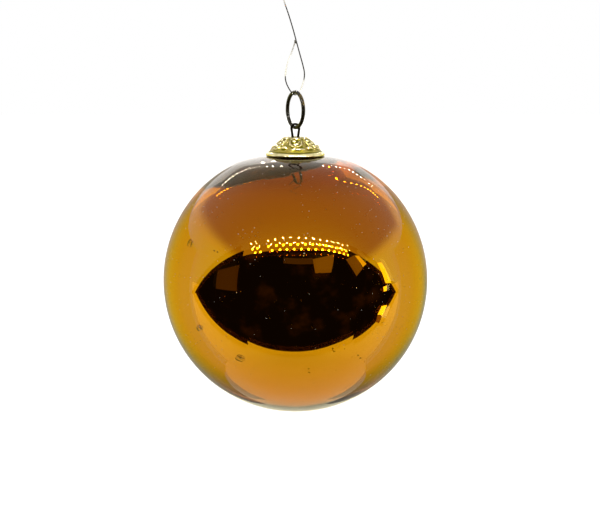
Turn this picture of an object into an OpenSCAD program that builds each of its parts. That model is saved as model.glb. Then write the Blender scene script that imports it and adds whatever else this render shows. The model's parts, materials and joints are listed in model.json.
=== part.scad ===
// Glass ball ornament: a thick-walled silvered glass ball under a stamped brass cap. A bent wire
// hooks under the glass and links through a wire ring, which hangs in the noose of a clear line.
// The origin is the hang point, under the top of the line's eye. Millimetres, +Z up.

/* [Ball] */
// Width of the glass ball at its widest level
ball_w = 102; // [76:1:153]
// How far the flattened top lies below a true ball
top_cut = 2.1; // [0.5:0.1:4]
// Radius of the flattened top beyond the ball's own radius
top_extra = 34; // [15:1:60]
// How far the flattened bottom lies above a true ball
bottom_cut = 0.8; // [0.2:0.1:3]
// Radius of the flattened bottom beyond the ball's own radius
bottom_extra = 25; // [15:1:60]
// Glass wall at the sides and the bottom
wall = 2.5; // [1.5:0.1:5]
// Glass thickness on the axis at the neck
neck_wall = 3; // [2.5:0.1:10]
// Radius of the hollow's flatter roof beyond the hollow's own radius
roof_extra = 20; // [4:0.5:60]
// Diameter of the mouth
mouth_d = 13; // [10.5:0.5:16]
// Depth of the ground lip below the crown of the glass
lip_cut = 0.4; // [0.3:0.05:0.6]
// Thickness of the silvering, and its gap to the glass
coat = 0.1; // [0.05:0.01:0.2]

/* [Cap] */
// Width of the cap over its rolled rim
cap_w = 22.7; // [19:0.1:30]
// Height of the cap from the rim's underside to the crown
cap_h = 7; // [5.5:0.1:10]
// Width of the flat crown
crown_w = 7.2; // [6:0.1:9]
// Thickness of the sheet brass
sheet = 0.5; // [0.4:0.05:0.7]
// Diameter of the rolled rim's bead
bead_d = 1.3; // [1:0.1:1.8]
// Width of the groove between the bead and the foot of the dome
groove = 0.3; // [0.2:0.05:0.6]
// Height of the steep shoulder's top above the rim's underside
knee_h = 2.4; // [1.8:0.1:3]
// Diameter of the crown's hole
crown_hole_d = 3.3; // [2.7:0.1:4.5]
// Number of embossed leaves, with a boss between each two
leaves = 6; // [4:1:8]
// Diameter of the ball that raises a leaf
leaf_d = 3; // [2:0.1:4]
// Diameter of the ball that raises a boss
boss_d = 1.6; // [1:0.1:2.4]
// Gap between the rolled rim and the glass
seat_gap = 0.15; // [0.1:0.05:0.4]

/* [Hanger] */
// Thickness of the hanger's wire
hanger_wire = 0.95; // [0.7:0.05:1.2]
// Play at each side between the loop and the ring's wire in it
loop_play = 0.21; // [0.15:0.01:0.6]
// Height of the loop above the crown
loop_h = 5.2; // [4.5:0.1:8]
// Gap between the legs and the crown's hole
hole_gap = 0.15; // [0.05:0.05:0.3]
// Gap between the legs and the mouth
leg_gap = 0.3; // [0.2:0.05:0.6]
// Gap between the feet and the silvered roof above them
foot_gap = 0.3; // [0.2:0.05:0.6]
// Distance from the axis to the end of a foot
foot_r = 8.6; // [7.5:0.1:12]

/* [Ring] */
// Width of the hanging ring over its wire
ring_w = 14.5; // [11:0.1:20]
// Thickness of the ring's wire
ring_wire = 1.4; // [1:0.05:1.7]
// Turn of the ring's plane about the vertical, from the hanger loop's plane
ring_turn = -63; // [-75:1:-55]
// Gap where one link hangs in another
link_gap = 0.1; // [0.05:0.01:0.2]

/* [Line] */
// Thickness of the line
line_d = 0.45; // [0.3:0.05:0.55]
// Diameter of the knot that closes the noose
noose_knot_d = 1.2; // [1.1:0.1:2]
// Diameter of the knot that closes the eye
top_knot_d = 1.4; // [1.2:0.1:2.4]

/* [Hidden] */
$fn = 96;

// Route of the line in the plane y = 0, as [x, z]: down the noose's left strand, under the ring,
// up the right strand, up the single line and round the eye.
LINE_ROUTE = [
  [-0.1, -33.2], [-0.4, -34.8], [-1.7, -38.5], [-3, -42], [-3.7, -46], [-3.3, -48.7],
  [-1.7, -51.7], [0, -53], [1.8, -51.6], [3.1, -48], [3.4, -45], [2.8, -42], [1.5, -37.4],
  [0.5, -33.8], [-0.9, -28.8], [-2.5, -23.7], [-4.2, -18.8], [-4.9, -15.4], [-4.6, -12],
  [-3.4, -9.3], [-0.8, -6.4], [1, -3.4], [1.1, -0.8], [0, 0.2], [-1.4, -0.6], [-2.8, -3],
  [-3.9, -6], [-4.2, -9.2]
];
NOOSE_KNOT = [0.2, 0, -33.7];
TOP_KNOT = [-3.8, 0, -9.4];
line_steps = 3;
line_sides = 8;
line_low = min([for (p = LINE_ROUTE) p.y]);

// Links, from the noose down: the levels of the wires' centres on the axis
ring_r = (ring_w - ring_wire) / 2;
ring_top = line_low + line_d / 2 + link_gap + ring_wire / 2;
ring_mid = ring_top - ring_r;
ring_low = ring_mid - ring_r;
loop_r = ring_wire / 2 / sin(abs(ring_turn)) + loop_play + hanger_wire / 2;
loop_top = ring_low + ring_wire / 2 + link_gap + hanger_wire / 2;
loop_mid = loop_top - loop_r;

// Cap
crown_top = loop_top + hanger_wire / 2 - loop_h;
crown_under = crown_top - sheet;
rim_low = crown_top - cap_h;
bead_r = bead_d / 2;
bead_at = cap_w / 2 - bead_r;
foot_of_dome = cap_w / 2 - bead_d - groove;
knee_r = foot_of_dome - 0.3;
knee_in = [knee_r - sheet, knee_h - sheet * 0.6];
crown_in = [crown_w / 2 - sheet * 0.4, cap_h - sheet];
leaf_at = 0.45;
boss_at = 0.14;

// Ball
ball_r = ball_w / 2;
top_r = ball_r + top_extra;
bottom_r = ball_r + bottom_extra;
hollow_r = ball_r - wall;
roof_r = hollow_r + roof_extra;
floor_r = hollow_r + bottom_extra;
ball_up = ball_r - top_cut;
ball_down = ball_r - bottom_cut;
hollow_up = ball_up - neck_wall;
hollow_down = ball_down - wall;
function under_arc(up, r, at) = up - r + sqrt(r * r - at * at);
ball_mid = rim_low - seat_gap - under_arc(ball_up, top_r, bead_at);

// Hanger's legs
throat = crown_hole_d / 2 - hole_gap - hanger_wire / 2;
throat_low = crown_under - hanger_wire / 2;
leg_x = mouth_d / 2 - leg_gap - hanger_wire / 2;
leg_top = ball_mid + ball_up - lip_cut;
feet = ball_mid + under_arc(hollow_up, roof_r, foot_r) - 2 * coat - foot_gap - hanger_wire / 2;
throat_drop = loop_mid - crown_top;
bend_cut = 0.45;
bend_steps = 4;
loop_steps = 14;
wire_sides = 16;
loop_turn = acos(loop_r / norm([throat, throat_drop])) - atan2(throat_drop, throat);

// A solid oval: a ball whose top and bottom are cut to flatter arcs
module oval(r, up, up_r, down, down_r) {
  intersection() {
    sphere(r = r);
    translate([0, 0, up - up_r]) sphere(r = up_r);
    translate([0, 0, down_r - down]) sphere(r = down_r);
  }
}

// The ball's hollow, shrunk all round by inset
module hollow(inset) {
  oval(
    hollow_r - inset, hollow_up - inset, roof_r - inset,
    hollow_down - inset, floor_r - inset
  );
}

// Smooth points along a route: between each two points, a cubic that keeps both neighbours' slopes
function slope(p, i) = (p[min(i + 1, len(p) - 1)] - p[max(i - 1, 0)]) / 2;
function between(a, b, sa, sb, t) =
  (2 * pow(t, 3) - 3 * t * t + 1) * a + (pow(t, 3) - 2 * t * t + t) * sa
  + (3 * t * t - 2 * pow(t, 3)) * b + (pow(t, 3) - t * t) * sb;
function smooth(p, steps) = [
  for (i = [0 : len(p) - 2]) for (k = [0 : steps - 1])
    between(p[i], p[i + 1], slope(p, i), slope(p, i + 1), k / steps),
  p[len(p) - 1]
];

// Corners rounded off: a curve from cut before each inner point to cut after it
function toward(a, b, far) = a + far * (b - a) / norm(b - a);
function rounded(p, cut, steps) = [
  p[0],
  for (i = [1 : len(p) - 2]) let (a = toward(p[i], p[i - 1], cut), b = toward(p[i], p[i + 1], cut))
    for (k = [0 : steps])
      let (t = k / steps) pow(1 - t, 2) * a + 2 * t * (1 - t) * p[i] + t * t * b,
  p[len(p) - 1]
];

// A round tube swept along points [x, z] in the plane y = 0
module flat_tube(p, d, sides) {
  rings = len(p);
  corners = [
    for (i = [0 : rings - 1])
      let (way = slope(p, i) / norm(slope(p, i)))
        for (k = [0 : sides - 1])
          let (across = d / 2 * cos(360 * k / sides))
            [p[i].x - way.y * across, d / 2 * sin(360 * k / sides), p[i].y + way.x * across]
  ];
  walls = [
    for (i = [0 : rings - 2]) for (k = [0 : sides - 1])
      let (a = i * sides + k, b = i * sides + (k + 1) % sides)
        [a, b, b + sides, a + sides]
  ];
  first = [for (k = [sides - 1 : -1 : 0]) k];
  last = [for (k = [0 : sides - 1]) (rings - 1) * sides + k];
  polyhedron(points = corners, faces = concat(walls, [first, last]), convexity = 8);
}

// Blown glass ball with its hollow, its mouth and the lip ground flat round it
module glass_ball() {
  color([0.85, 0.5, 0.05, 0.6])
    translate([0, 0, ball_mid])
      difference() {
        oval(ball_r, ball_up, top_r, ball_down, bottom_r);
        hollow(0);
        cylinder(d = mouth_d, h = ball_up + 1);
        translate([0, 0, ball_up - lip_cut]) cylinder(r = mouth_d, h = top_cut);
      }
}

// Mirror coat on the hollow's wall, open at the mouth
module silvering() {
  color([0.9, 0.9, 0.92])
    translate([0, 0, ball_mid])
      difference() {
        hollow(coat);
        hollow(2 * coat);
        cylinder(d = mouth_d, h = ball_up);
      }
}

// Balls on the dome's slope, at share of the way from the knee to the crown
module on_dome(share, d, count, from) {
  low = [knee_r, knee_h];
  high = [crown_w / 2, cap_h];
  at = low + share * (high - low);
  sunk = d / 2 - 0.3;
  tilt = atan2(high.y - low.y, low.x - high.x);
  for (i = [0 : count - 1])
    rotate(from + 360 * i / count)
      translate([at.x - sunk * sin(tilt), 0, at.y - sunk * cos(tilt)])
        sphere(d = d, $fn = 32);
}

// Stamped cap: rolled rim, groove, steep shoulder, embossed dome and flat crown with its hole
module brass_cap() {
  color([0.8, 0.68, 0.28])
    translate([0, 0, rim_low])
      difference() {
        union() {
          rotate_extrude() {
            polygon([
              [0, cap_h], [crown_w / 2, cap_h], [knee_r, knee_h], [foot_of_dome, bead_r + sheet / 2],
              [bead_at, bead_r + sheet / 2], [bead_at, bead_r - sheet / 2], [0, bead_r - sheet / 2]
            ]);
            translate([bead_at, bead_r]) circle(d = bead_d);
          }
          on_dome(leaf_at, leaf_d, leaves, 270);
          on_dome(boss_at, boss_d, leaves, 270 + 180 / leaves);
        }
        rotate_extrude()
          polygon([
            [0, cap_h - sheet], crown_in, knee_in, [foot_of_dome - sheet, bead_r],
            [foot_of_dome - sheet, -1], [0, -1]
          ]);
        cylinder(d = crown_hole_d, h = cap_h + 1);
      }
}

// Bent wire: a loop above the crown, two legs that spread in the mouth, and feet under the glass
module hanger_wire() {
  leg = rounded([
    [throat, crown_top], [throat, throat_low], [leg_x, leg_top], [leg_x, feet], [foot_r, feet]
  ], bend_cut, bend_steps);
  loop = [
    for (k = [0 : loop_steps])
      let (turn = loop_turn + k / loop_steps * (180 - 2 * loop_turn))
        [loop_r * cos(turn), loop_mid + loop_r * sin(turn)]
  ];
  other_leg = [for (i = [len(leg) - 1 : -1 : 0]) leg[i]];
  color([0.16, 0.13, 0.11])
    flat_tube(concat(
      other_leg, loop, [for (p = leg) [-p.x, p.y]]
    ), hanger_wire, wire_sides);
}

// Round ring of thicker wire, upright, turned from the hanger loop's plane
module hanging_ring() {
  color([0.2, 0.15, 0.08])
    translate([0, 0, ring_mid])
      rotate([90, 0, ring_turn])
        rotate_extrude() translate([ring_r, 0]) circle(d = ring_wire);
}

// Clear line: the noose, the single line and the eye, in one sweep
module hanging_line() {
  color([0.75, 0.75, 0.75])
    flat_tube(smooth(LINE_ROUTE, line_steps), line_d, line_sides);
}

// Knot that closes the noose
module noose_knot() {
  color([0.7, 0.7, 0.7]) translate(NOOSE_KNOT) sphere(d = noose_knot_d, $fn = 32);
}

// Knot that closes the eye
module top_knot() {
  color([0.7, 0.7, 0.7]) translate(TOP_KNOT) sphere(d = top_knot_d, $fn = 32);
}

glass_ball();
silvering();
brass_cap();
hanger_wire();
hanging_ring();
hanging_line();
noose_knot();
top_knot();
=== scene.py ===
import json
from math import atan2, cos, pi, radians, sin, sqrt, tan

import bpy
import numpy as np
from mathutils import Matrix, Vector


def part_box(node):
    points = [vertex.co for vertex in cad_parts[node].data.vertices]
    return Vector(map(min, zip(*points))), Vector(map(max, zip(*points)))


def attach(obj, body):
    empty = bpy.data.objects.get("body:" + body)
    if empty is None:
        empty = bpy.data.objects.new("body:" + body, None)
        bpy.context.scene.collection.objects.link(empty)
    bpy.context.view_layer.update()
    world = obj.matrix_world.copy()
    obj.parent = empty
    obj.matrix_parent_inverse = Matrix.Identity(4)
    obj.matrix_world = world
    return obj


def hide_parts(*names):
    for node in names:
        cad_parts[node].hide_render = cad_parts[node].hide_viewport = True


# Glass ball ornament: blown amber glass over a mirror coat, a stamped brass cap, a bent wire hanger,
# a wire ring and a clear line. Metres, +Z up, the origin at the hang point, -Y to the front.

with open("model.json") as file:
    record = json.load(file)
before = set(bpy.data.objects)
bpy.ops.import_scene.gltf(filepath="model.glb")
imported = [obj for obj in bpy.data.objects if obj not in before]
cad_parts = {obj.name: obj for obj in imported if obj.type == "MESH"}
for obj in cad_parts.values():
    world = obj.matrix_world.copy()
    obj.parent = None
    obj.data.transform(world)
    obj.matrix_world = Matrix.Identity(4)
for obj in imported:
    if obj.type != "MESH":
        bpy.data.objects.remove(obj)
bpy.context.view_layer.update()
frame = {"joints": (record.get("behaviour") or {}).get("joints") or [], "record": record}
MM = 0.001

# Places, taken from the frame
BALL_LOW, BALL_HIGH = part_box("glass_ball")
CAP_LOW, CAP_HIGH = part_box("brass_cap")
HANGER_LOW, HANGER_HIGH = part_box("hanger_wire")
JOINTS = {joint["name"]: joint for joint in frame["joints"]}
MOUNTS = {mount["name"]: mount for mount in frame["record"]["mounts"]}
RING_TOP = JOINTS["ring_swing"]["pos_m"][2]
RING_LOW = JOINTS["ball_swing"]["pos_m"][2]
RING_AXIS = np.array(MOUNTS["ring_eye"]["axis"])
RING_R = (RING_TOP - RING_LOW) / 2
RING_MID = (RING_TOP + RING_LOW) / 2

# Ball, in millimetres: a round side cut by flatter arcs at the top and the bottom
BALL_R = 51
BALL_UP = 48.9
BALL_DOWN = 50.2
TOP_R = 85
BOTTOM_R = 76
OUTER_CREASE = 0.25
WALL = 2.5
NECK_WALL = 3
# How much flatter than the side the hollow's roof and bottom are, and how soft its creases are
ROOF_EXTRA = 20
BOTTOM_EXTRA = 25
HOLLOW_CREASE = 1.0
END_GATHER = 1.6
MOUTH_R = 6.5
LIP_UP = 48.5
LIP_R = 8.24
COAT = 0.1
BALL_MID = BALL_LOW.z + BALL_DOWN * MM
AROUND = 224
BLISTER_DEPTH = 1.3
SEEDS = 150
SEED_DEPTH = 0.7
# The burnt round of the coat: its half width in degrees, and its middle as turn and lift
NECK_BURN = 33
NECK_BURN_WAY = (-110, 76.5)

# Cap, in millimetres from the rim's underside and the axis
CROWN_R = 3.6
CAP_H = 7.0
KNEE_R = 9.45
KNEE_H = 2.4
SHEET = 0.5
ROSETTES = 6
# Where the first rosette stands, and the foot's four motifs from the front, in degrees
ROSETTE_TURN = -90 + 1.5
FOOT_MOTIFS = (-29, 6, 38, 66)
FOOT_START = FOOT_MOTIFS[0] - 15
RIM_IN = 10.6
GROOVE_UP = 1.62

# Wires and line, in millimetres
HANGER_D = 0.95
RING_D = 1.4
LINE_D = 0.45
RING_TURN = 63
RING_SEAM = 212
LOOP_PLAY = 0.21
HOLE_R = 1.65
HOLE_GAP = 0.15
LEG_GAP = 0.3
FOOT_R = 8.6
FOOT_DROP = 0.35

# The line's route in the plane y = 0, as [x, z] in millimetres: down the noose's left strand, under
# the ring, up the right strand, up the single line and round the eye
LINE_ROUTE = [
    [-0.1, -33.2], [-0.4, -34.8], [-1.7, -38.5], [-3, -42], [-3.7, -46], [-3.3, -48.7],
    [-1.7, -51.7], [0, -53], [1.8, -51.6], [3.1, -48], [3.4, -45], [2.8, -42], [1.5, -37.4],
    [0.5, -33.8], [-0.9, -28.8], [-2.5, -23.7], [-4.2, -18.8], [-4.9, -15.4], [-4.6, -12],
    [-3.4, -9.3], [-0.8, -6.4], [1, -3.4], [1.1, -0.8], [0, 0.2], [-1.4, -0.6], [-2.8, -3],
    [-3.9, -6], [-4.2, -9.2],
]
# Painted shade along the line, dark on the stretches that lean towards dark surroundings: shares of its
# run, and how much shade is painted there
LINE_PAINTED_SHADE = [
    [0, 0.04, 0.07, 0.145, 0.16, 0.235, 0.25, 0.31, 0.325, 0.61, 0.63, 1],
    [0.4, 0.35, 0.08, 0.08, 0.95, 0.95, 0.1, 0.1, 0.95, 0.95, 0.3, 0.2],
]
NOOSE_KNOT = [0.2, -33.7]
TOP_KNOT = [-3.8, -9.4]
KNOT_STRAND = 0.32
KNOT_LENGTH = 1.1
# How much shade is painted on the two knots
KNOT_PAINTED_SHADE = 0.4

# View: from the front, a little above
VIEW_DISTANCE = 0.35
VIEW_HEIGHT = radians(13)
AIM_UP = radians(1.18)
AIM_RIGHT = radians(0.29)
LENS = 53.75

# Studio, measured from the ball's middle
FLOOR_DROP = 0.482
FLOOR_HALF = 12.0
CARD_R = 0.6
ROOM_HALF = 92.7
ROOM_TOP = 41.5
BENCH_HALF = 52
CEILING_UP = 0.42
CEILING_NEAR = (0.62, 0.43, 0.26)
CEILING_FAR = (0.53, 0.3, 0.17)
CEILING_SHEEN = (0.77, 0.76, 0.74)
# Lamps: distance between two, and their radius
FRONT_PITCH = 0.058
FRONT_LAMP_R = 0.008
REAR_PITCH = 0.027
REAR_LAMP_R = 0.0047

random = np.random.default_rng(11)


# ---------------------------------------------------------------- shapes

def unit(vectors):
    """The same ways, each of length 1."""
    return vectors / np.linalg.norm(vectors, axis=-1, keepdims=True)


def smooth_route(points, steps):
    """Cubic pieces between the points; each keeps the slopes set by its two neighbours."""
    p = np.array(points, float)
    slopes = np.vstack([p[1] - p[0], p[2:] - p[:-2], p[-1] - p[-2]]) / 2
    t = (np.arange(steps) / steps)[:, None]
    a, b, sa, sb = p[:-1, None], p[1:, None], slopes[:-1, None], slopes[1:, None]
    curve = (2 * t**3 - 3 * t**2 + 1) * a + (t**3 - 2 * t**2 + t) * sa
    curve = curve + (3 * t**2 - 2 * t**3) * b + (t**3 - t**2) * sb
    return np.vstack([curve.reshape(-1, p.shape[1]), p[-1:]])


def even_route(points, step):
    """The same line with its points set at even distances of about step."""
    p = np.array(points, float)
    run = np.concatenate([[0], np.cumsum(np.linalg.norm(np.diff(p, axis=0), axis=1))])
    at = np.linspace(0, run[-1], int(run[-1] / step) + 1)
    return np.stack([np.interp(at, run, p[:, k]) for k in range(p.shape[1])], axis=1)


def grid_faces(rows, columns, rows_closed=False):
    """Four-sided faces of a grid of points whose columns close round; the rows may close too."""
    row = np.arange(rows if rows_closed else rows - 1)[:, None]
    column = np.arange(columns)[None, :]
    up = (row + 1) % rows
    on = (column + 1) % columns
    corners = [row * columns + column, row * columns + on, up * columns + on, up * columns + column]
    return np.stack(np.broadcast_arrays(*corners), axis=-1).reshape(-1, 4)


def fans(first_row, last_row, columns, first_pole, last_pole):
    """Three-sided faces that close a grid's first and last row to a pole each."""
    column = np.arange(columns)
    on = (column + 1) % columns
    low = np.stack([np.full(columns, first_pole), first_row + on, first_row + column], axis=1)
    high = np.stack([np.full(columns, last_pole), last_row + column, last_row + on], axis=1)
    return np.vstack([low, high])


def volume(points, quads, triangles):
    """Signed volume inside the faces: positive where they point outwards."""
    split = np.vstack([quads[:, [0, 1, 2]], quads[:, [0, 2, 3]], triangles])
    a, b, c = points[split[:, 0]], points[split[:, 1]], points[split[:, 2]]
    return float(np.einsum("ij,ij->i", a, np.cross(b, c)).sum() / 6)


def outward(points, quads, triangles, hollow=False):
    """Turns all faces so that they point out of the solid, or into it for a hollow within one."""
    if (volume(points, quads, triangles) < 0) != hollow:
        quads = quads[:, ::-1]
        triangles = triangles[:, ::-1]
    return points, quads, triangles


def join_shapes(shapes):
    """One set of points and faces from several."""
    starts = np.cumsum([0] + [len(points) for points, quads, triangles in shapes[:-1]])
    points = np.vstack([shape[0] for shape in shapes])
    quads = np.vstack([shape[1] + start for shape, start in zip(shapes, starts)])
    triangles = np.vstack([shape[2] + start for shape, start in zip(shapes, starts)])
    return points, quads, triangles


def turned(profile, columns, waves=None):
    """A profile of [radius, height] turned about the Z axis; its two ends lie on the axis.
    waves, if given, is a function that moves the turned points."""
    turn = np.arange(columns) / columns * 2 * pi
    ring = profile[1:-1]
    x = ring[:, 0, None] * np.cos(turn)
    y = ring[:, 0, None] * np.sin(turn)
    z = np.broadcast_to(ring[:, 1, None], x.shape)
    points = np.stack([x, y, z], axis=-1).reshape(-1, 3)
    ends = np.array([[0, 0, profile[0, 1]], [0, 0, profile[-1, 1]]])
    points = np.vstack([points, ends])
    if waves is not None:
        points = waves(points)
    rows = len(ring)
    count = rows * columns
    quads = grid_faces(rows, columns)
    triangles = fans(0, (rows - 1) * columns, columns, count, count + 1)
    return outward(points, quads, triangles)


def swept(path, radius, sides, across, end_roundness=1.0, end_rings=5):
    """A round tube along a path. Each ring's first arm is the path's direction crossed with across.
    Each end closes in a half oval, end_roundness radii deep. Also returns each point's run."""
    way = unit(np.gradient(path, axis=0))
    rise = (1 - np.arange(1, end_rings) / end_rings) * pi / 2
    depth = np.sin(rise)[:, None] * radius * end_roundness
    start = path[0] - way[0] * depth
    finish = (path[-1] + way[-1] * depth)[::-1]
    centres = np.vstack([start, path, finish])
    ways = np.vstack([np.repeat(way[:1], len(start), 0), way, np.repeat(way[-1:], len(start), 0)])
    radii = np.concatenate([np.cos(rise), np.ones(len(path)), np.cos(rise)[::-1]]) * radius
    first = unit(np.cross(ways, across))
    second = np.cross(ways, first)
    turn = np.arange(sides) / sides * 2 * pi
    arms = first[:, None] * np.cos(turn)[:, None] + second[:, None] * np.sin(turn)[:, None]
    points = (centres[:, None] + arms * radii[:, None, None]).reshape(-1, 3)
    tips = [path[0] - way[0] * radius * end_roundness, path[-1] + way[-1] * radius * end_roundness]
    rows = len(centres)
    count = rows * sides
    points = np.vstack([points, tips])
    steps = np.linalg.norm(np.diff(centres, axis=0), axis=1)
    run = np.repeat(np.concatenate([[0], np.cumsum(steps)]), sides)
    run = np.concatenate([run, [0, run[-1]]])
    quads = grid_faces(rows, sides)
    triangles = fans(0, (rows - 1) * sides, sides, count, count + 1)
    return outward(points, quads, triangles), run


def put(name, data):
    """A new object of the scene."""
    item = bpy.data.objects.new(name, data)
    bpy.context.scene.collection.objects.link(item)
    return item


def make_piece(name, shape, body, node, material, values=None):
    """A smooth mesh piece that stands for a CAD node and rides on its body.
    values holds one number for each point under each name, for its material to read."""
    points, quads, triangles = shape
    mesh = bpy.data.meshes.new(name)
    mesh.from_pydata(points.tolist(), [], quads.tolist() + triangles.tolist())
    mesh.polygons.foreach_set("use_smooth", np.ones(len(mesh.polygons), bool))
    for key, numbers in (values or {}).items():
        attribute = mesh.attributes.new(key, "FLOAT", "POINT")
        attribute.data.foreach_set("value", np.asarray(numbers, np.float32))
    mesh.update()
    mesh.materials.append(material)
    piece = put(name, mesh)
    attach(piece, body)
    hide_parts(node)
    return piece


# ---------------------------------------------------------------- ball

def to_arc(tilt, up, radius):
    """Distance from the ball's middle to an arc of that radius whose pole is that far up the axis,
    along a line tilted from the axis: c cos t + sqrt(r2 - (c sin t)2), with c the arc's centre."""
    centre = up - radius
    return centre * np.cos(tilt) + np.sqrt(radius**2 - (centre * np.sin(tilt)) ** 2)


def oval(tilt, side, up, up_r, down, down_r, blend):
    """The least of a round side and two flatter arcs, with the creases between them blended."""
    arms = np.stack([
        np.full_like(tilt, side), to_arc(tilt, up, up_r), to_arc(pi - tilt, down, down_r)
    ])
    least = arms.min(axis=0)
    return least - blend * np.log(np.exp((least - arms) / blend).sum(axis=0))


def outer_arm(tilt):
    """The glass's outside, as a distance from the ball's middle."""
    return oval(tilt, BALL_R, BALL_UP, TOP_R, BALL_DOWN, BOTTOM_R, OUTER_CREASE)


def hollow_arm(tilt, inset):
    """The hollow's wall, shrunk by inset, as a distance from the ball's middle. The glass gathers
    towards the two ends, by END_GATHER times the squared cosine and the sine of the tilt."""
    side = BALL_R - WALL - inset
    up = BALL_UP - NECK_WALL - inset
    down = BALL_DOWN - WALL - inset
    roof_r = BALL_R - WALL + ROOF_EXTRA - inset
    gather = END_GATHER * np.cos(tilt) ** 2 * np.sin(tilt)
    return oval(tilt, side, up, roof_r, down, side + BOTTOM_EXTRA, HOLLOW_CREASE) - gather


def along(tilt, arm):
    """[radius, height] of points at that tilt and distance."""
    return np.stack([arm * np.sin(tilt), arm * np.cos(tilt)], axis=1)


def ripple(points, height, lengths, seed):
    """Moves points in or out from the ball's middle by a sum of slow waves in seeded directions."""
    draw = np.random.default_rng(seed)
    ways = unit(draw.normal(size=(len(lengths), 3)))
    phases = draw.uniform(0, 2 * pi, len(lengths))
    turns = points @ (ways.T * 2 * pi / np.array(lengths)) + phases
    lift = height * np.sin(turns).mean(axis=1)
    return points * (1 + lift / np.linalg.norm(points, axis=1))[:, None]


def glass_ripple(points):
    """Slow waves of blown glass: fine on the outside, stronger on the wall of the hollow."""
    inside = np.linalg.norm(points, axis=1) < BALL_R - WALL / 2
    outer = ripple(points, 0.02, [14, 19, 23, 31, 37], 3)
    inner = inner_ripple(points)
    return np.where(inside[:, None], inner, outer)


def inner_ripple(points):
    """Slow waves of the hollow's wall, which the mirror coat shares."""
    return ripple(points, 0.05, [16, 21, 27, 34, 45], 5)


def seed_bubble(place, size, columns=10, rows=6):
    """A small hollow in the glass: an oval bubble, flattened along the ball's radius."""
    tilt = np.linspace(0, pi, rows + 1)
    points, quads, triangles = turned(np.stack([np.sin(tilt), np.cos(tilt)], axis=1), columns)
    out = unit(place)
    side = unit(np.cross(out, [0.3, 0.2, 0.93]))
    axes = np.stack([side * size[0], np.cross(out, side) * size[1], out * size[2]])
    return outward(points @ axes + place, quads, triangles, hollow=True)


def direction(turn, lift):
    """The way from the ball's middle at that turn from the front and that lift, in degrees."""
    return np.array([
        cos(radians(lift)) * sin(radians(turn)), -cos(radians(lift)) * cos(radians(turn)),
        sin(radians(lift)),
    ])


# Blisters in the glass: turn, lift, length and width in millimetres
BLISTERS = [
    (-55, 23, 1.5, 2.8), (-44, -11, 2.4, 2.0), (-25, -22, 3.6, 1.9), (16, -17, 1.0, 0.6),
    (6, -27, 0.9, 0.5), (29, -22, 1.1, 0.6), (-37, 22, 0.9, 0.6), (120, 10, 1.8, 1.0),
    (170, -25, 1.4, 0.8), (-130, -5, 1.6, 0.9), (75, -12, 1.0, 0.7),
]


def glass_bubbles():
    """The blisters, and many fine seeds spread through the wall."""
    bubbles = []
    for turn, lift, length, width in BLISTERS:
        place = direction(turn, lift) * (BALL_R - BLISTER_DEPTH)
        bubbles.append(seed_bubble(place, [length / 2.4, width / 2.4, 0.2], 28, 14))
    ways = unit(random.normal(size=(SEEDS, 3)))
    sizes = random.uniform(0.05, 0.17, SEEDS)
    depths = random.uniform(SEED_DEPTH, WALL - SEED_DEPTH, SEEDS)
    for way, size, depth in zip(ways[ways[:, 2] < 0.85], sizes, depths):
        bubbles.append(seed_bubble(way * (BALL_R - depth), [size, size * 1.6, size], 8, 5))
    return bubbles


def glass_ball():
    """The glass: outside, ground lip, mouth and hollow as one turned profile, with its bubbles. The
    hollow's wall lies half way through the mirror coat, which is bonded to it with no air between."""
    lip_tilt = atan2(LIP_R, LIP_UP)
    roof = hollow_arm(np.array([atan2(MOUTH_R, BALL_UP - NECK_WALL)]), 0)[0]
    mouth_tilt = atan2(MOUTH_R, sqrt(roof**2 - MOUTH_R**2))
    outside = np.linspace(pi, lip_tilt, 170)
    inside = np.linspace(mouth_tilt, pi, 150)
    mouth_low = roof * cos(mouth_tilt)
    lip = np.array([
        [7.9, LIP_UP], [7.4, LIP_UP], [6.9, LIP_UP], [6.65, LIP_UP - 0.04], [6.54, LIP_UP - 0.15],
        [MOUTH_R, LIP_UP - 0.4], [MOUTH_R, 47.3], [MOUTH_R, 46.4], [MOUTH_R, mouth_low + 0.4],
    ])
    profile = np.vstack([
        along(outside, outer_arm(outside)), lip, along(inside, hollow_arm(inside, 1.5 * COAT))
    ])
    profile[0, 0] = 0
    profile[-1, 0] = 0
    shape = join_shapes([turned(profile, AROUND, glass_ripple)] + glass_bubbles())
    return placed(shape, BALL_MID)


def placed(shape, height):
    """A shape in millimetres about the axis, brought to metres and to its height."""
    points, quads, triangles = shape
    return points * MM + np.array([0, 0, height]), quads, triangles


def silvering():
    """The mirror coat: a thin shell just inside the hollow's wall, open at the mouth."""
    mouth_tilt = atan2(MOUTH_R, BALL_UP - NECK_WALL - 0.3)
    tilt = np.linspace(pi, mouth_tilt, 130)
    outside = along(tilt, hollow_arm(tilt, COAT))
    inside = along(tilt, hollow_arm(tilt, 2 * COAT))[::-1]
    profile = np.vstack([outside, inside])
    profile[0, 0] = 0
    profile[-1, 0] = 0
    return placed(turned(profile, AROUND, inner_ripple), BALL_MID)


# ---------------------------------------------------------------- cap

# The sheet's section as [radius, height]: hole, crown, slope, rolled rim, and back up the inside
CAP_PROFILE = [
    [1.65, 6.75], [1.72, 6.93], [1.9, 7.0], [2.6, 7.0], [3.3, 6.98], [3.8, 6.8], [4.35, 6.4],
    [KNEE_R - 0.35, 2.72], [KNEE_R - 0.05, 2.4], [KNEE_R + 0.15, 2.1], [9.78, 1.72], [9.98, 1.48],
    [10.2, 1.38], [10.42, 1.42], [10.62, 1.38], [10.85, 1.12], [11.08, 0.78], [11.27, 0.42],
    [11.32, 0.2], [11.2, 0.04], [10.9, 0.0], [10.4, 0.06], [9.9, 0.42], [9.45, 1.05], [9.15, 1.7],
    [8.85, 2.15], [4.1, 5.9], [3.4, 6.38], [2.6, 6.5], [1.9, 6.5], [1.72, 6.56],
]


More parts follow.
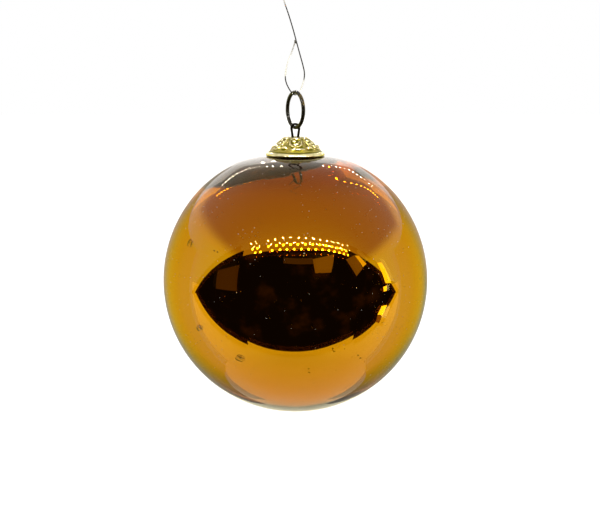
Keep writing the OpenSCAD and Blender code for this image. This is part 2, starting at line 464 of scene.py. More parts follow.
def soften(values, passes, axis=0):
    """Evens out neighbouring rows of a closed grid, once for each pass."""
    for _ in range(passes):
        values = values / 2 + (np.roll(values, 1, axis) + np.roll(values, -1, axis)) / 4
    return values


def ridge(distance, width):
    """A rounded ridge: 1 on its line, falling off over the width."""
    return np.exp(-((distance / width) ** 2))


def blob(across, down, middle, size, sharp=1.0):
    """A rounded boss of that half width and half height, flatter on top where sharp is over 1."""
    away = ((across - middle[0]) / size[0]) ** 2 + ((down - middle[1]) / size[1]) ** 2
    return np.exp(-(away**sharp))


def rosette_relief(across, down):
    """Height of a rosette, in millimetres. across runs round the cap from its middle, and down from
    the crown's edge: a bud and a broad petal in a raised surround, with a slanting leaf at one side."""
    out = np.hypot(across, (down - 3.1) / 1.12)
    surround = 0.4 * ridge(out - 2.15, 0.34)
    bud = 0.5 * blob(across, down, (-0.65, 2.35), (0.72, 0.62), 1.3)
    petal = 0.56 * blob(across, down, (0.2, 4.05), (1.15, 0.62), 1.4)
    lean = (across - 1.1) * 0.85 + (down - 2.9) * 0.5
    leaf = 0.34 * ridge(lean, 0.26) * ridge(down - 2.9, 1.3)
    fold = 0.3 * ridge(np.hypot(across + 0.6, down - 2.4) - 1.05, 0.17) * (down > 2.0)
    return np.maximum(np.maximum(surround, bud), np.maximum(petal, leaf)) - fold


def edge_relief(across, down):
    """Height of the pattern about the line between two rosettes: two ridges that run up to the
    crown and draw together, with a veined leaf between them."""
    half = 0.3 + 0.26 * np.clip(down, 0, 5.2)
    ridges = 0.4 * ridge(np.abs(across) - half, 0.22) * np.clip((5.2 - down) / 0.8, 0, 1)
    vein = 0.22 * ridge(across, 0.14) * ridge(down - 2.6, 1.8)
    return ridges + vein


def foot_relief(across, down, radius):
    """Height of one third of the row of motifs about the dome's foot: a notched boss, a long bar, a
    longer boss and a ringed medallion. across is the turn from the front, in radians."""
    notched, bar, long_boss, medal = [(across - radians(at)) * radius for at in FOOT_MOTIFS]
    first = 0.62 * blob(notched, down, (0, 5.95), (0.95, 0.72), 1.6)
    first = first - 0.4 * ridge(notched, 0.16) * (down < 5.7)
    second = 0.5 * blob(bar, down, (0, 6.78), (2.45, 0.46), 2.2)
    third = 0.6 * blob(long_boss, down, (0, 6.1), (1.2, 0.66), 1.6)
    away = np.hypot(medal, down - 5.75)
    fourth = 0.36 * ridge(away - 1.25, 0.22) + 0.5 * blob(medal, down, (-0.1, 5.75), (0.72, 0.72), 1.5)
    return np.maximum(np.maximum(first, second), np.maximum(third, fourth))


def cap_relief(radius, height, turn):
    """The stamped pattern's height at each point, from its place on the dome's slope."""
    slope = atan2(CAP_H - KNEE_H, KNEE_R - CROWN_R)
    down = (radius - CROWN_R) * cos(slope) + (CAP_H - height) * sin(slope)
    sixth = 2 * pi / ROSETTES
    third = 2 * pi / 3
    from_rosette = (turn - radians(ROSETTE_TURN) + sixth / 2) % sixth - sixth / 2
    from_edge = (turn - radians(ROSETTE_TURN)) % sixth - sixth / 2
    from_front = (turn - radians(-90 + FOOT_START)) % third + radians(FOOT_START)
    upper = rosette_relief(from_rosette * radius, down) * (np.abs(from_rosette * radius) < 2.9)
    upper = np.maximum(upper, edge_relief(from_edge * radius, down))
    upper = upper * np.clip((5.9 - down) / 0.5, 0, 1)
    pattern = np.maximum(upper, foot_relief(from_front, down, radius))
    on_dome = np.clip(down / 0.5, 0, 1) * np.clip((7.6 - down) / 0.4, 0, 1) * (height > 1.6)
    return pattern * on_dome, slope


def brass_cap():
    """The cap: a closed profile of its sheet and rolled rim carried round the axis, with the
    stamped pattern lifted along the dome's slope, on the outside and the inside alike."""
    columns = 600
    profile = even_route(CAP_PROFILE + CAP_PROFILE[:1], 0.255)[:-1]
    profile = soften(profile, 2)
    turn = np.arange(columns) / columns * 2 * pi
    radius = np.broadcast_to(profile[:, 0, None], (len(profile), columns))
    height = np.broadcast_to(profile[:, 1, None], radius.shape)
    lift, slope = cap_relief(radius, height, turn[None, :])
    dent = 0.03 * np.sin(3 * turn + 1.1) + 0.02 * np.sin(7 * turn + radius)
    lift = lift + dent * (height > 1.5) * 0.6
    wide = radius + lift * sin(slope)
    tall = height + lift * cos(slope)
    points = np.stack([wide * np.cos(turn), wide * np.sin(turn), tall], axis=-1).reshape(-1, 3)
    mean = soften(soften(lift, 8, 0), 12, 1)
    hollow = np.clip(0.5 + (mean - lift) / 0.22, 0, 1)
    groove = ridge(height - GROOVE_UP, 0.3) * (radius > 9.5) * (radius < 10.5)
    # The rolled rim gets the pale colour of raised brass all round: partly raised metal, partly a painted
    # highlight along its bright band
    hollow = np.where(radius > RIM_IN, 0.22, np.maximum(hollow, groove))
    quads = grid_faces(len(profile), columns, rows_closed=True)
    shape = outward(points, quads, np.zeros((0, 3), int))
    return placed(shape, CAP_LOW.z), {"hollow": hollow.ravel()}


# ---------------------------------------------------------------- wires

def rounded_corners(points, cut, steps):
    """A path with each inner corner replaced by a curve that starts cut before it and ends cut
    after it."""
    out = [points[0]]
    for before, corner, after in zip(points, points[1:], points[2:]):
        start = corner + (before - corner) * cut / np.linalg.norm(before - corner)
        end = corner + (after - corner) * cut / np.linalg.norm(after - corner)
        for t in np.linspace(0, 1, steps + 1):
            out.append((1 - t) ** 2 * start + 2 * t * (1 - t) * corner + t * t * end)
    return out + [points[-1]]


def hanger_wire():
    """The hanger: foot, leg, throat, loop over the top and down the other side, in one wire. The
    feet drop a little, to stay clear of the glass that gathers under the neck."""
    wire = HANGER_D * MM
    loop_r = (RING_D / 2 / sin(radians(RING_TURN)) + LOOP_PLAY) * MM + wire / 2
    loop_mid = HANGER_HIGH.z - wire / 2 - loop_r
    throat = (HOLE_R - HOLE_GAP) * MM - wire / 2
    throat_low = CAP_HIGH.z - SHEET * MM - wire / 2
    leg_x = (MOUTH_R - LEG_GAP) * MM - wire / 2
    feet = HANGER_LOW.z + wire / 2 - FOOT_DROP * MM
    drop = loop_mid - CAP_HIGH.z
    start = np.arccos(loop_r / np.hypot(throat, drop)) - atan2(drop, throat)
    corners = [
        np.array(p) for p in (
            (throat, CAP_HIGH.z), (throat, throat_low), (leg_x, BALL_HIGH.z), (leg_x, feet),
            (FOOT_R * MM, feet),
        )
    ]
    leg = np.array(rounded_corners(corners, 0.45 * MM, 8))
    turn = np.linspace(start, pi - start, 40)
    loop = np.stack([loop_r * np.cos(turn), loop_mid + loop_r * np.sin(turn)], axis=1)
    flat = np.vstack([leg[::-1], loop, leg * [-1, 1]])
    flat = even_route(flat, 0.22 * MM)
    path = np.stack([flat[:, 0], np.zeros(len(flat)), flat[:, 1]], axis=1)
    return swept(path, wire / 2, 24, np.array([0, 1, 0]), 0.35)


def hanging_ring():
    """The ring: a wire bent round until its two cut ends almost meet, low on the left."""
    seam = radians(RING_SEAM)
    gap = radians(0.7)
    side = np.array([-RING_AXIS[1], RING_AXIS[0], 0])
    turn = np.linspace(seam + gap, seam + 2 * pi - gap, 200)
    path = RING_R * (np.cos(turn)[:, None] * side + np.sin(turn)[:, None] * np.array([0, 0, 1]))
    path = path + np.array([0, 0, RING_MID])
    return swept(path, RING_D / 2 * MM, 32, RING_AXIS, 0.25)


def flat_line(route, steps):
    """A route [x, z] in the plane y = 0, smoothed, in metres."""
    flat = smooth_route(route, steps) * MM
    return np.stack([flat[:, 0], np.zeros(len(flat)), flat[:, 1]], axis=1)


def knot_wraps(place, size, turns, strand, length, lean):
    """A small knot: turns of the line wound round itself, in a leaning barrel."""
    turn = np.linspace(0, turns * 2 * pi, int(turns * 22))
    barrel = (size - strand) / 2
    swell = barrel * (0.86 + 0.14 * np.sin(turn / turn[-1] * pi))
    rise = (turn / turn[-1] - 0.5) * length
    x = swell * np.cos(turn)
    y = swell * np.sin(turn)
    points = np.stack([x + rise * lean, y, rise], axis=1) + np.array([place[0], 0, place[1]])
    return swept(points * MM, strand / 2 * MM, 14, np.array([0, 0, 1]), 1.0)


# ---------------------------------------------------------------- materials

def feed(tree, node, inputs):
    """Gives a node its inputs; each is a value or another node's output."""
    for name, value in inputs.items():
        if isinstance(value, bpy.types.NodeSocket):
            tree.links.new(value, node.inputs[name])
        else:
            node.inputs[name].default_value = value


def add(tree, kind, inputs=None, **settings):
    """A new node with its settings and inputs."""
    node = tree.nodes.new(kind)
    for name, value in settings.items():
        setattr(node, name, value)
    feed(tree, node, inputs or {})
    return node


def bare_material(name):
    """A material whose node tree is still empty."""
    material = bpy.data.materials.new(name)
    material.use_nodes = True
    material.node_tree.nodes.clear()
    return material, material.node_tree


def new_material(name):
    """A material with a Principled shader, and its node tree."""
    material, tree = bare_material(name)
    shader = add(tree, "ShaderNodeBsdfPrincipled")
    output = add(tree, "ShaderNodeOutputMaterial", {"Surface": shader.outputs[0]})
    return material, tree, shader, output


def place_on(tree):
    """The point's own place on the piece."""
    return add(tree, "ShaderNodeTexCoord").outputs["Object"]


def value_of(tree, name):
    """The number that the piece's points hold under that name."""
    return add(tree, "ShaderNodeAttribute", attribute_name=name).outputs["Fac"]


def shifted(tree, place, centre, turn=(0, 0, 0), scale=(1, 1, 1)):
    """A place measured from a centre, then turned and stretched."""
    moved = add(tree, "ShaderNodeVectorMath", {0: place, 1: centre}, operation="SUBTRACT").outputs[0]
    return add(tree, "ShaderNodeMapping", {"Vector": moved, "Rotation": turn, "Scale": scale}).outputs[0]


def noise(tree, place, size, detail=3.0, rough=0.5, twist=0.0):
    """Soft noise with marks of about that size in metres."""
    inputs = {"Vector": place, "Scale": 1 / size, "Detail": detail, "Roughness": rough}
    inputs["Distortion"] = twist
    return add(tree, "ShaderNodeTexNoise", inputs).outputs[0]


def math(tree, operation, a, b=0.5, clamp=False):
    """One sum, product or other operation on two numbers."""
    return add(tree, "ShaderNodeMath", {0: a, 1: b}, operation=operation, use_clamp=clamp).outputs[0]


def times(tree, a, b):
    """Two numbers multiplied."""
    return math(tree, "MULTIPLY", a, b)


def swing(tree, value, amount):
    """A number about a half, as a swing of that amount about nothing."""
    return times(tree, math(tree, "SUBTRACT", value, 0.5), amount)


def between(tree, value, low, high, out_low=0.0, out_high=1.0):
    """A number brought smoothly from low..high to out_low..out_high."""
    inputs = {"Value": value, "From Min": low, "From Max": high, "To Min": out_low, "To Max": out_high}
    return add(tree, "ShaderNodeMapRange", inputs, interpolation_type="SMOOTHSTEP").outputs[0]


def blend_colour(tree, share, a, b):
    """Colour a, going to colour b with the share."""
    node = add(tree, "ShaderNodeMix", data_type="RGBA")
    a, b = [(*value, 1) if isinstance(value, tuple) else value for value in (a, b)]
    feed(tree, node, {0: share, 6: a, 7: b})
    return node.outputs[2]


def bump(tree, height, distance):
    """A normal from a height in units of the distance."""
    inputs = {"Height": height, "Distance": distance, "Strength": 1.0}
    return add(tree, "ShaderNodeBump", inputs).outputs[0]


def specks(tree, place, cell, radius, share):
    """Small round specks, in that share of cells of that size; 1 on a speck."""
    voronoi = add(tree, "ShaderNodeTexVoronoi", {"Vector": place, "Scale": 1 / cell})
    chance = add(tree, "ShaderNodeSeparateColor", {0: voronoi.outputs["Color"]}).outputs
    near = between(tree, voronoi.outputs["Distance"], radius, radius * 0.5)
    chosen = math(tree, "LESS_THAN", chance[0], share)
    return times(tree, near, chosen)


def amber_glass():
    """Thick amber glass: clear at the surface and coloured by its depth, with a film of dust specks,
    faint smears and fine scratches."""
    material, tree, shader, output = new_material("amber_glass")
    place = place_on(tree)
    cloud = between(tree, noise(tree, place, 22 * MM, 2.0), 0.42, 0.62, 0.15, 0.7)
    dust = times(tree, specks(tree, place, 2.0 * MM, 0.12, cloud), 0.95)
    smear = between(tree, noise(tree, place, 16 * MM, 4.0, 0.6, 0.6), 0.52, 0.72)
    streaks = noise(tree, shifted(tree, place, (0, 0, 0), (0.5, 0.9, 0.4), (1, 14, 1)), 9 * MM, 2.0)
    scratch = between(tree, streaks, 0.735, 0.76)
    rough = times(tree, smear, 0.03)
    rough = math(tree, "ADD", rough, times(tree, scratch, 0.2))
    rough = math(tree, "ADD", rough, times(tree, dust, 0.6))
    clear = math(tree, "SUBTRACT", 1.0, times(tree, dust, 0.75))
    peel = noise(tree, place, 7 * MM, 2.0)
    feed(tree, shader, {
        "Base Color": (1, 1, 1, 1), "Roughness": rough, "Transmission Weight": clear, "IOR": 1.5,
        "Specular Tint": (1, 0.75, 0.08, 1), "Normal": bump(tree, peel, 0.012 * MM),
    })
    depth = add(tree, "ShaderNodeVolumeAbsorption", {"Color": (0.921, 0.787, 0.0, 1), "Density": 1000})
    tree.links.new(depth.outputs[0], output.inputs["Volume"])
    return material


def blister_mark(tree, place, turn, lift, length, width):
    """The brown outline that a blister leaves on the coat behind it: nested broken arcs, heavier on
    one side."""
    middle = direction(turn, lift) * (BALL_R - WALL) * MM + np.array([0, 0, BALL_MID])
    spin = (0, 0, radians(-turn))
    scale = (2 / length / MM, 2 / width / MM, 2 / width / MM)
    flat = shifted(tree, place, tuple(middle), spin, scale)
    off = add(tree, "ShaderNodeVectorMath", {0: flat}, operation="LENGTH").outputs["Value"]
    rim = between(tree, math(tree, "ABSOLUTE", math(tree, "SUBTRACT", off, 1.0)), 0.3, 0.08)
    heart = between(tree, math(tree, "ABSOLUTE", math(tree, "SUBTRACT", off, 0.45)), 0.2, 0.06)
    across = add(tree, "ShaderNodeSeparateXYZ", {0: flat}).outputs
    one_side = between(tree, math(tree, "SUBTRACT", across[2], across[0]), -0.9, 0.5, 0.25, 1.0)
    broken = between(tree, noise(tree, place, 1.1 * MM, 2.0), 0.36, 0.5)
    both = times(tree, math(tree, "MAXIMUM", rim, times(tree, heart, 0.8)), one_side)
    return times(tree, both, broken)


def silver_mirror():
    """Mirror coat, with age specks, and burnt dark in a ragged round about the neck."""
    material, tree, shader, _ = new_material("silver_mirror")
    place = place_on(tree)
    about = shifted(tree, place, (0, 0, BALL_MID))
    way = add(tree, "ShaderNodeVectorMath", {0: about}, operation="NORMALIZE").outputs[0]
    middle = tuple(direction(*NECK_BURN_WAY))
    near = add(tree, "ShaderNodeVectorMath", {0: way, 1: middle}, operation="DOT_PRODUCT").outputs["Value"]
    near = math(tree, "ADD", near, times(tree, noise(tree, place, 6 * MM, 5.0, 0.6), 0.07))
    edge = cos(radians(NECK_BURN)) + 0.035
    neck = between(tree, near, edge - 0.006, edge + 0.008)
    aged = between(tree, noise(tree, place, 3 * MM, 5.0, 0.7), 0.66, 0.78)
    spots = specks(tree, place, 3.2 * MM, 0.07, 0.3)
    worn = math(tree, "MAXIMUM", times(tree, aged, 0.25), times(tree, spots, 0.7))
    marks = 0.0
    for turn, lift, length, width in BLISTERS[:5]:
        marks = math(tree, "MAXIMUM", marks, blister_mark(tree, place, turn, lift, length, width))
    dark = math(tree, "MAXIMUM", neck, worn)
    colour = blend_colour(tree, dark, (0.93, 0.93, 0.94), (0.045, 0.038, 0.036))
    colour = blend_colour(tree, marks, colour, (0.4, 0.16, 0.08))
    feed(tree, shader, {
        "Base Color": colour, "Metallic": math(tree, "SUBTRACT", 1.0, dark),
        "Roughness": between(tree, dark, 0.0, 1.0, 0.0, 0.5), "Specular IOR Level": 0.2,
    })
    return material


def stamped_brass():
    """Bright stamped brass: pale on the raised parts, olive and brown tarnish in the hollows."""
    material, tree, shader, _ = new_material("stamped_brass")
    place = place_on(tree)
    hollow = value_of(tree, "hollow")
    patchy = swing(tree, noise(tree, place, 2.6 * MM, 4.0, 0.6), 0.5)
    age = math(tree, "ADD", hollow, patchy)
    bright = blend_colour(tree, between(tree, age, 0.12, 0.45), (0.95, 0.86, 0.5), (0.46, 0.37, 0.075))
    olive = blend_colour(tree, between(tree, age, 0.5, 0.85), bright, (0.17, 0.155, 0.008))
    brown = between(tree, noise(tree, place, 3.2 * MM, 3.0), 0.54, 0.66)
    brown = times(tree, brown, between(tree, age, 0.4, 0.7))
    colour = blend_colour(tree, times(tree, brown, 0.75), olive, (0.17, 0.09, 0.02))
    grain = noise(tree, place, 0.35 * MM, 4.0, 0.6)
    rough = between(tree, age, 0.1, 0.9, 0.17, 0.34)
    rough = math(tree, "ADD", rough, times(tree, grain, 0.06))
    feed(tree, shader, {
        "Base Color": colour, "Metallic": 1.0, "Roughness": rough,
        "Normal": bump(tree, grain, 0.012 * MM),
    })
    return material


def dark_wire():
    """Blackened steel wire: fine pits, a little brown rust, thin bright wear."""
    material, tree, shader, _ = new_material("dark_wire")
    place = place_on(tree)
    rust = between(tree, noise(tree, place, 1.1 * MM, 5.0, 0.7), 0.5, 0.7)
    wear = between(tree, noise(tree, place, 0.8 * MM, 3.0), 0.66, 0.74)
    colour = blend_colour(tree, rust, (0.012, 0.011, 0.01), (0.04, 0.018, 0.009))
    colour = blend_colour(tree, times(tree, wear, 0.5), colour, (0.3, 0.28, 0.25))
    pits = noise(tree, place, 0.25 * MM, 4.0, 0.6)
    feed(tree, shader, {
        "Base Color": colour, "Metallic": times(tree, wear, 0.9),
        "Roughness": between(tree, rust, 0.0, 1.0, 0.3, 0.6), "Specular IOR Level": 0.25,
        "Normal": bump(tree, pits, 0.03 * MM),
    })
    return material


def ring_bronze():
    """Near-black olive patina on the ring's wire, worn through to gold in a few random patches, with a
    painted gold highlight on the side that faces right, front and up.
    """
    material, tree, shader, _ = new_material("dark_ring_wire")
    place = place_on(tree)
    run = value_of(tree, "run")
    painted_glint = value_of(tree, "painted_glint")
    patches = noise(tree, place, 1.6 * MM, 5.0, 0.65)
    lines = noise(tree, shifted(tree, place, (0, 0, RING_MID), (0, 0, 0), (1, 1, 0.3)), 0.3 * MM, 2.0)
    drift = math(tree, "SINE", times(tree, run, 410.0))
    # Gold where the wire is worn in random patches, plus the painted highlight on the side that faces
    # right
    gold_wear_and_glint = math(tree, "ADD", painted_glint, swing(tree, patches, 1.4))
    gold_wear_and_glint = between(tree, math(tree, "ADD", gold_wear_and_glint, times(tree, drift, 0.06)), 0.72, 1.0)
    patina = blend_colour(tree, patches, (0.012, 0.01, 0.006), (0.034, 0.027, 0.011))
    colour = blend_colour(tree, gold_wear_and_glint, patina, (0.5, 0.34, 0.1))
    feed(tree, shader, {
        "Base Color": colour, "Metallic": gold_wear_and_glint, "Specular IOR Level": 0.3,
        "Roughness": between(tree, gold_wear_and_glint, 0.0, 1.0, 0.34, 0.22),
        "Normal": bump(tree, lines, 0.025 * MM),
    })
    return material


def clear_line():
    """Clear nylon with painted shade: dark grey on the stretches that lean towards dark surroundings,
    clear on the others, with a random cloudy tone.
    """
    material, tree, shader, _ = new_material("clear_line")
    place = place_on(tree)
    painted_shade = value_of(tree, "painted_shade")
    cloud = noise(tree, place, 1.5 * MM, 4.0, 0.6)
    # The painted shade, with the random cloudy tone added
    share = math(tree, "ADD", painted_shade, swing(tree, cloud, 0.3), clamp=True)
    colour = blend_colour(tree, share, (0.97, 0.97, 0.97), (0.03, 0.029, 0.028))
    feed(tree, shader, {
        "Base Color": colour, "Transmission Weight": between(tree, share, 0.0, 1.0, 1.0, 0.1),
        "Roughness": between(tree, cloud, 0.3, 0.7, 0.08, 0.25), "IOR": 1.53,
        "Specular IOR Level": 0.3, "Normal": bump(tree, noise(tree, place, 0.3 * MM, 3.0), 0.01 * MM),
    })
    return material


# ---------------------------------------------------------------- studio

def make_camera():
    """The camera, from the front and a little above the ball, aimed just above its middle."""
    away = Vector((0, -cos(VIEW_HEIGHT), sin(VIEW_HEIGHT)))
    up = Vector((0, sin(VIEW_HEIGHT), cos(VIEW_HEIGHT)))
    aim = -away + Vector((tan(AIM_RIGHT), 0, 0)) + up * tan(AIM_UP)
    data = bpy.data.cameras.new("camera")
    data.lens = LENS
    data.sensor_width = 36
    camera = put("camera", data)
    camera.location = Vector((0, 0, BALL_MID)) + away * VIEW_DISTANCE
    camera.rotation_euler = aim.to_track_quat("-Z", "Y").to_euler()
    bpy.context.scene.camera = camera


def glow(name, colour, strength):
    """A plain even light of a stage card."""
    material, tree = bare_material(name)
    light = add(tree, "ShaderNodeEmission", {"Color": (*colour, 1), "Strength": strength})
    output = add(tree, "ShaderNodeOutputMaterial", {"Surface": light.outputs[0]})
    return material, tree, light, output


def stage_card(name, grid, material):
    """A card through a grid of points, with a UV map that runs from 0 to 1 along its rows and
    columns. It shows in the glass and the metal, and not to the camera."""
    rows, columns = grid.shape[:2]
    row = np.arange(rows - 1)[:, None] * columns
    corner = row + np.arange(columns - 1)
    faces = np.stack([corner, corner + 1, corner + columns + 1, corner + columns], axis=-1).reshape(-1, 4)
    mesh = bpy.data.meshes.new(name)
    mesh.from_pydata((grid.reshape(-1, 3) + np.array([0, 0, BALL_MID])).tolist(), [], faces.tolist())
    across = np.broadcast_to(np.linspace(0, 1, columns), (rows, columns)).ravel()
    up = np.repeat(np.linspace(0, 1, rows), columns)
    layer = mesh.uv_layers.new(name="card")
    layer.data.foreach_set("uv", np.stack([across, up], axis=1)[faces.ravel()].ravel().astype(np.float32))
    mesh.materials.append(material)
    item = put(name, mesh)
    item.visible_camera = False
    return item


def drum_card(name, low, high, left, right, radius, reach, material):
    """A strip of a long drum about the ball's left-right axis, from one angle above the front level
    to another, in degrees, and from left to right, drawn in to that reach from the ball's middle."""
    angle = np.radians(np.linspace(low, high, 5))[:, None]
    x = np.linspace(left, right, 25)[None, :]
    sheets = np.stack(np.broadcast_arrays(x, -radius * np.cos(angle), radius * np.sin(angle)), axis=-1)
    return stage_card(name, unit(sheets) * reach, material)


def globe_card(name, turn, lift, radius, material):
    """A sheet of a globe about the ball's middle: turn is the way round from the front and lift the
    way up from the level, in degrees, each a grid of the same size."""
    turn = np.radians(turn)
    lift = np.radians(lift)
    ways = np.stack([np.cos(lift) * np.sin(turn), -np.cos(lift) * np.cos(turn), np.sin(lift)], axis=-1)
    return stage_card(name, ways * radius, material)


def four_sided(name, corners, radius, material):
    """A sheet of the globe between four corners, each a turn and a lift, evenly spread between."""
    low_left, low_right, high_right, high_left = np.array(corners, float)
    across = np.linspace(0, 1, 9)[None, :, None]
    up = np.linspace(0, 1, 9)[:, None, None]
    low = low_left * (1 - across) + low_right * across
    high = high_left * (1 - across) + high_right * across
    place = low * (1 - up) + high * up
    return globe_card(name, place[..., 0], place[..., 1], radius, material)


def room_front():
    """The dark room in front, an almond on the globe. Its top and foot follow the tangent of the
    lift, p cos(turn) + q, and the foot steps down where the bench's two ends stand out."""
    turn = np.linspace(-ROOM_HALF, ROOM_HALF, 125)
    level = np.cos(np.radians(turn))
    top = np.where(np.abs(turn) < BENCH_HALF, tan(radians(ROOM_TOP)) * level, 1.22 * level - 0.08)
    foot = np.where(np.abs(turn - 4) < BENCH_HALF, -1.28 * level, -1.23 * level - 0.17)
    foot = np.minimum(foot, top)
    share = np.linspace(0, 1, 30)[:, None]
    lift = np.degrees(np.arctan(foot)) * (1 - share) + np.degrees(np.arctan(top)) * share
    globe_card("dark_room", np.broadcast_to(turn, lift.shape), lift, CARD_R - 0.01, dim_room())


def dim_room():
    """The dark room's material: near black, with a few dim warm patches."""
    material, tree, light, _ = glow("dark_room", (0.01, 0.006, 0.003), 1.0)
    place = place_on(tree)
    patches = between(tree, noise(tree, place, 0.22, 3.0, 0.55), 0.52, 0.75)
    colour = blend_colour(tree, patches, (0.005, 0.003, 0.003), (0.03, 0.014, 0.006))
    tree.links.new(colour, light.inputs["Color"])
    return material


def lamp_row(name, angle, left, count, pitch, radius, strength):
    """A row of small round lamps along the left-right axis, on a card that is clear between them."""
    material, tree, light, output = glow(name, (1.0, 0.93, 0.8), strength)
    place = add(tree, "ShaderNodeTexCoord").outputs["UV"]
    stretched = add(tree, "ShaderNodeVectorMath", {0: place, 1: (count, 1, 1)}, operation="MULTIPLY")
    wrapped = add(tree, "ShaderNodeVectorMath", {0: stretched.outputs[0]}, operation="FRACTION")
    pair = {0: wrapped.outputs[0], 1: (0.5, 0.5, 0)}
    middle = add(tree, "ShaderNodeVectorMath", pair, operation="DISTANCE")
    lit = math(tree, "LESS_THAN", middle.outputs["Value"], radius / pitch)
    clear = add(tree, "ShaderNodeBsdfTransparent")
    both = add(tree, "ShaderNodeMixShader", {0: lit, 1: clear.outputs[0], 2: light.outputs[0]})
    tree.links.new(both.outputs[0], output.inputs["Surface"])
    half = np.degrees(pitch / 2 / CARD_R)
    right = left + count * pitch
    sizes = (CARD_R - 0.02, CARD_R - 0.05)
    row = drum_card(name, angle - half, angle + half, left, right, *sizes, material)
    row.visible_diffuse = False


def ceiling():
    """The ceiling: a flat sheet, dim and warm through the glass and paler in the surface's sheen,
    fading to a pale light at its two sides and its back."""
    material, tree, light, _ = glow("ceiling", (1, 1, 1), 1.0)
    place = add(tree, "ShaderNodeSeparateXYZ", {0: place_on(tree)}).outputs
    far = math(tree, "MAXIMUM", between(tree, place[0], -0.55, -0.8), between(tree, place[0], 0.75, 1.1))
    far = math(tree, "MAXIMUM", far, between(tree, place[1], 0.5, 0.85))
    warm = blend_colour(tree, between(tree, place[1], -0.45, -0.1), CEILING_NEAR, CEILING_FAR)
    through = add(tree, "ShaderNodeLightPath").outputs["Is Transmission Ray"]
    warm = blend_colour(tree, through, CEILING_SHEEN, warm)
    pale = blend_colour(tree, through, (1, 1, 1), (1, 0.94, 0.25))
    tree.links.new(blend_colour(tree, far, warm, pale), light.inputs["Color"])
    front = -CEILING_UP / tan(radians(ROOM_TOP))
    x, y = np.meshgrid(np.linspace(-0.85, 1.15, 5), np.linspace(front, 0.9, 5))
    stage_card("ceiling", np.stack([x, y, np.full_like(x, CEILING_UP)], axis=-1), material)


def side_flag(name, side):
    """A cream screen at the ball's side and a little behind it, greyer towards its far end and its
    foot, and paler at its near end."""
    material, tree, light, _ = glow(name, (1, 1, 1), 1.0)
    place = add(tree, "ShaderNodeSeparateXYZ", {0: add(tree, "ShaderNodeTexCoord").outputs["UV"]}).outputs
    near = between(tree, place[0], 0.0, 0.35)
    cream = blend_colour(tree, near, (1, 0.94, 0.35), (1, 0.91, 0.06))
    grey = blend_colour(tree, between(tree, place[0], 0.45, 0.95), cream, (0.62, 0.54, 0.42))
    low = times(tree, between(tree, place[1], 0.45, 0.0), between(tree, place[0], 0.3, 0.9))
    grey = blend_colour(tree, times(tree, low, 0.7), grey, (0.2, 0.19, 0.2))
    tree.links.new(grey, light.inputs["Color"])
    turn, lift = np.meshgrid(np.linspace(96, 165, 30) * side, np.linspace(-55, 16, 30))
    globe_card(name, turn, lift, CARD_R, material).visible_diffuse = False


# Bright and brown things in the room: corners as turn and lift, colour, strength
ROOM_THINGS = {
    "tall_window": (((80.5, 1), (87, -0.5), (81, 15.5), (76.5, 17)), (1.0, 0.95, 0.6), 2.8),
    "window_foot": (((78.5, -4.5), (81.5, -4.5), (82, -1), (78, -1)), (1.0, 0.85, 0.85), 4.0),
    "low_window": (((74.5, -20.5), (80.5, -21.5), (83.5, -14.5), (77.5, -14.5)), (1.0, 0.96, 0.7), 3.4),
    "low_frame": (((75, -26), (79.5, -27), (80.5, -22), (74.5, -21)), (0.5, 0.25, 0.1), 0.8),
    "bright_board": (((61, 18), (65.5, 19.5), (61, 27), (57, 28)), (1.0, 0.8, 0.3), 1.5),
    "brown_board": (((52, 12.5), (60.5, 17.5), (57, 28.5), (46.5, 27)), (0.5, 0.3, 0.08), 0.55),
    "brown_panel": (((18, 20), (31, 19), (37, 33), (17, 32)), (0.5, 0.3, 0.08), 0.62),
    "brown_shelf": (((-11, 29), (17, 28), (17, 33), (-11, 34)), (0.4, 0.22, 0.05), 0.22),
    "brown_door": (((-69, -0.5), (-49, 1), (-51, 22), (-70, 13)), (0.5, 0.25, 0.1), 0.16),
}


def make_studio():
    """White surroundings, a warm ceiling, a dark room in front with a few lit things in it, rows of
    small lamps before and behind, two cream screens and a bright backdrop."""
    room_front()
    for name, (corners, colour, strength) in ROOM_THINGS.items():
        four_sided(name, corners, CARD_R - 0.03, glow(name, colour, strength)[0])
    ceiling()
    side_flag("left_flag", -1)
    side_flag("right_flag", 1)
    for group, (left, count) in enumerate(((-0.42, 2), (-0.25, 1), (-0.18, 12))):
        for row, (angle, strength) in enumerate(((45.7, 400.0), (41.6, 260.0))):
            start = left + row * FRONT_PITCH / 2
            name = f"front_lamps_{group}_{row}"
            lamp_row(name, angle, start, count, FRONT_PITCH, FRONT_LAMP_R, strength)
    lamp_row("rear_lamps_left", 137.5, -0.38, 13, REAR_PITCH, REAR_LAMP_R, 130.0)
    lamp_row("rear_lamps_middle", 151, -0.09, 3, REAR_PITCH, REAR_LAMP_R, 90.0)
    lamp_row("rear_lamps_right", 140, 0.07, 12, REAR_PITCH, REAR_LAMP_R, 100.0)
    bright = glow("bright_backdrop", (1, 0.97, 0.95), 1.8)[0]
    four_sided("bright_backdrop", ((138, 2), (222, 2), (214, 31), (146, 31)), CARD_R + 0.02, bright)
    lights = bpy.data.worlds.new("studio")
    lights.use_nodes = True
    lights.node_tree.nodes["Background"].inputs[0].default_value = (1, 1, 1, 1)
    lights.node_tree.nodes["Background"].inputs[1].default_value = 1.0
    bpy.context.scene.world = lights


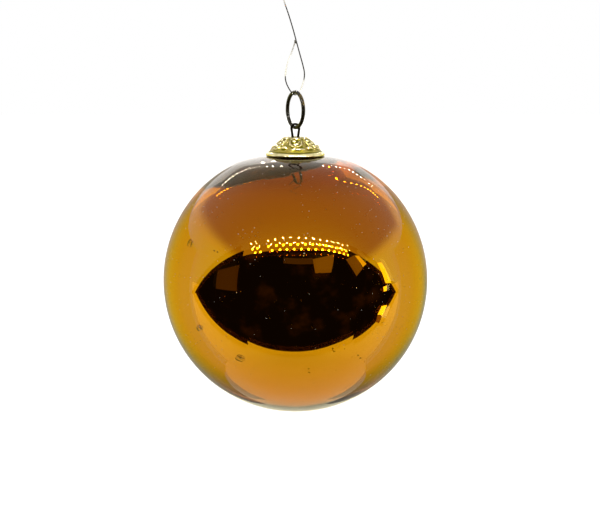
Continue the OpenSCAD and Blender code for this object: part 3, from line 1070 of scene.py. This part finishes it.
def make_floor():
    """A plain pale floor, well below the ball: white, with the ball's soft shadow left on it, and
    warmer in the glass and the metal."""
    level = BALL_MID - FLOOR_DROP
    corners = [(x * FLOOR_HALF, y * FLOOR_HALF, level) for x, y in ((-1, -1), (1, -1), (1, 1), (-1, 1))]
    mesh = bpy.data.meshes.new("floor")
    mesh.from_pydata(corners, [], [(0, 1, 2, 3)])
    material, tree = bare_material("pale_floor")
    matt = add(tree, "ShaderNodeBsdfDiffuse", {"Color": (0.82, 0.82, 0.82, 1)})
    seen = add(tree, "ShaderNodeLightPath").outputs
    mirrored = math(tree, "MAXIMUM", seen["Is Glossy Ray"], seen["Is Transmission Ray"])
    lift = times(tree, mirrored, 0.55)
    lift = math(tree, "MAXIMUM", lift, times(tree, seen["Is Camera Ray"], 0.5))
    warm = blend_colour(tree, mirrored, (1, 1, 1), (1, 0.86, 0.3))
    light = add(tree, "ShaderNodeEmission", {"Color": warm, "Strength": lift})
    both = add(tree, "ShaderNodeAddShader", {0: matt.outputs[0], 1: light.outputs[0]})
    add(tree, "ShaderNodeOutputMaterial", {"Surface": both.outputs[0]})
    mesh.materials.append(material)
    floor = put("floor", mesh)


# ---------------------------------------------------------------- making

def make_line():
    """The line and its two knots, hung on the ring and riding together on the line's body."""
    path = even_route(flat_line(LINE_ROUTE, 12), 0.4 * MM)
    shape, run = swept(path, LINE_D / 2 * MM, 16, np.array([0, 1, 0]), 1.0)
    total = run.max()
    # Painted shade along the line, from its share of the run
    values = {"painted_shade": np.interp(run / total, LINE_PAINTED_SHADE[0], LINE_PAINTED_SHADE[1])}
    finish = clear_line()
    line = make_piece("clear_hanging_line", shape, "line", "hanging_line", finish, values)
    for name, node, place, size, turns, lean in (
        ("wrapped_noose_knot", "noose_knot", NOOSE_KNOT, 0.95, 3.5, -0.28),
        ("wrapped_top_knot", "top_knot", TOP_KNOT, 1.35, 3.5, -0.4),
    ):
        wraps, _ = knot_wraps(place, size, turns, KNOT_STRAND, KNOT_LENGTH, lean)
        # The same painted shade on each knot
        values = {"painted_shade": np.full(len(wraps[0]), KNOT_PAINTED_SHADE)}
        make_piece(name, wraps, "line", node, finish, values)


def make_ball():
    """The glass with its bubbles, and the mirror coat inside it."""
    make_piece("blown_glass", glass_ball(), "ball", "glass_ball", amber_glass())
    make_piece("mirror_coat", silvering(), "ball", "silvering", silver_mirror())


def make_cap():
    """The stamped cap and the hanger that holds it down."""
    shape, values = brass_cap()
    make_piece("embossed_cap", shape, "cap", "brass_cap", stamped_brass(), values)
    shape, _ = hanger_wire()
    make_piece("bent_hanger", shape, "cap", "hanger_wire", dark_wire())


def make_ring():
    """The ring, with a painted gold highlight on the side that faces right, towards the front and up."""
    shape, run = hanging_ring()
    out = unit(shape[0] - np.array([0, 0, RING_MID]))
    # Painted highlight: gold on the side of the wire that faces right, front and up
    painted_glint = np.clip(out @ np.array([0.62, -0.25, 0.35]) * 1.2, 0, 1)
    values = {"run": run, "painted_glint": painted_glint}
    make_piece("bent_ring", shape, "ring", "hanging_ring", ring_bronze(), values)


bpy.context.scene.view_settings.view_transform = "Standard"
make_camera()
make_line()
make_ring()
make_cap()
make_ball()
make_floor()
make_studio()
